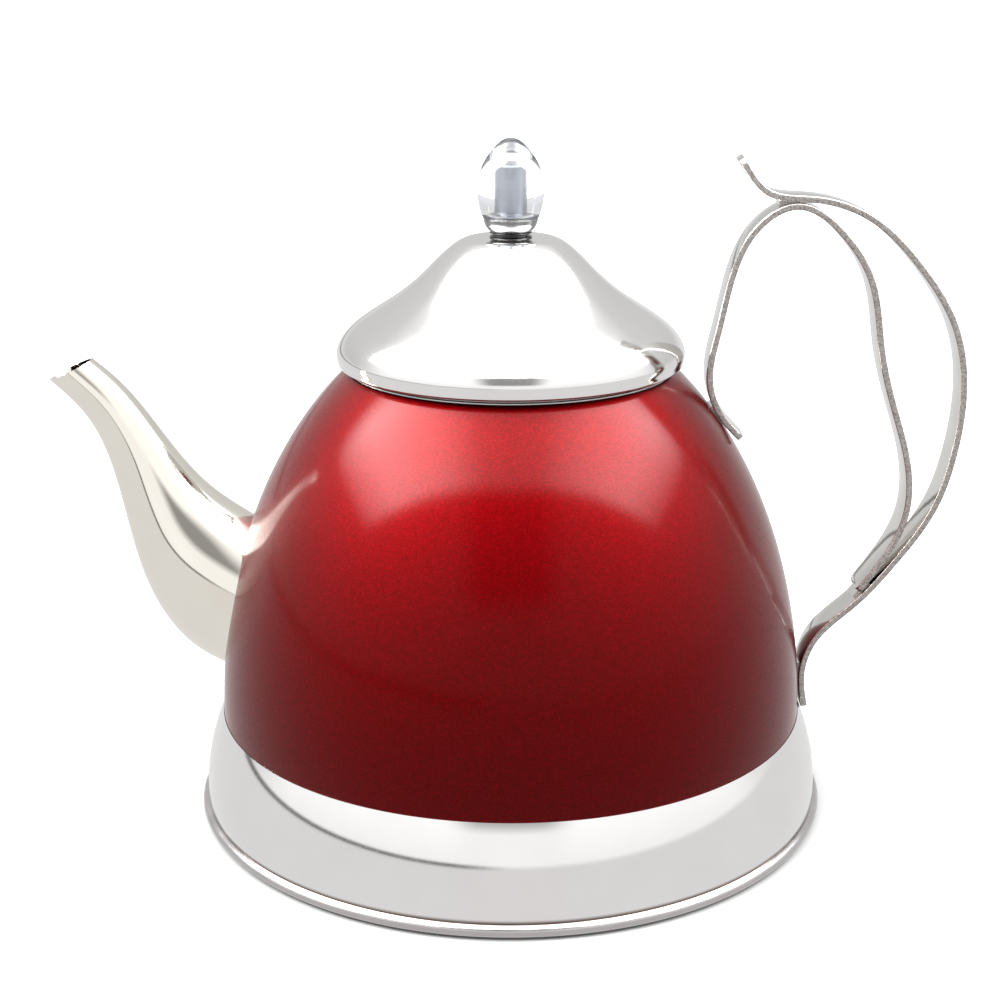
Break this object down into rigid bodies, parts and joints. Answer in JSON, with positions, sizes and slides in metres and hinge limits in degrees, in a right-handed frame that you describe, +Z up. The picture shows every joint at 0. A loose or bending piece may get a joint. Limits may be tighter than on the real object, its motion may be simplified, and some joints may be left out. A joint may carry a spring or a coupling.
{
  "type": "stovetop kettle",
  "caption": "Small stovetop kettle with a red dome body, a bare steel base and bell lid, a gooseneck spout, a bent two-strip side handle and a lift-out infuser basket.",
  "frame": {"origin": "centre of the underside of the base disc, on the surface that the kettle stands on", "axes": "+Z up along the axis of the body, +X from the body's axis towards the handle, so the spout is on -X; +Y completes a right-handed frame"},
  "size_m": [0.2114, 0.15, 0.158],
  "materials": {
    "red_lacquer": "translucent candy-red lacquer, glossy, over polished steel",
    "polished_steel": "mirror-polished stainless steel",
    "strip_steel": "bright stainless strip with plain sheared edges",
    "inner_steel": "satin stainless steel",
    "aluminium_core": "plain rolled aluminium, hidden in the base",
    "clear_acrylic": "clear cast acrylic, polished",
    "insert_steel": "turned steel"
  },
  "bodies": {
    "kettle": {"disc_cap": "inner_steel", "heat_disc": "aluminium_core", "bottom_plate": "polished_steel", "base_skirt": "polished_steel", "body_shell": "red_lacquer", "mouth_ring": "inner_steel", "spout": "polished_steel", "handle_outer_strip": "strip_steel", "handle_inner_strip": "strip_steel", "handle_welds": "strip_steel"},
    "infuser": {"infuser_rim": "inner_steel", "infuser_wall": "inner_steel", "infuser_floor": "inner_steel"},
    "lid": {"lid_shell": "polished_steel", "lid_plug_ring": "inner_steel", "knob_collar": "polished_steel", "knob_cup": "polished_steel", "knob_insert": "insert_steel", "knob_egg": "clear_acrylic", "knob_screw": "insert_steel", "knob_washer": "insert_steel"}
  },
  "joints": [
    {"name": "infuser_lift", "type": "slide", "parent": "kettle", "child": "infuser", "axis": [0, 0, 1], "range_m": [0, 0.075]},
    {"name": "lid_lift", "type": "slide", "parent": "infuser", "child": "lid", "axis": [0, 0, 1], "range_m": [0, 0.06]}
  ]
}
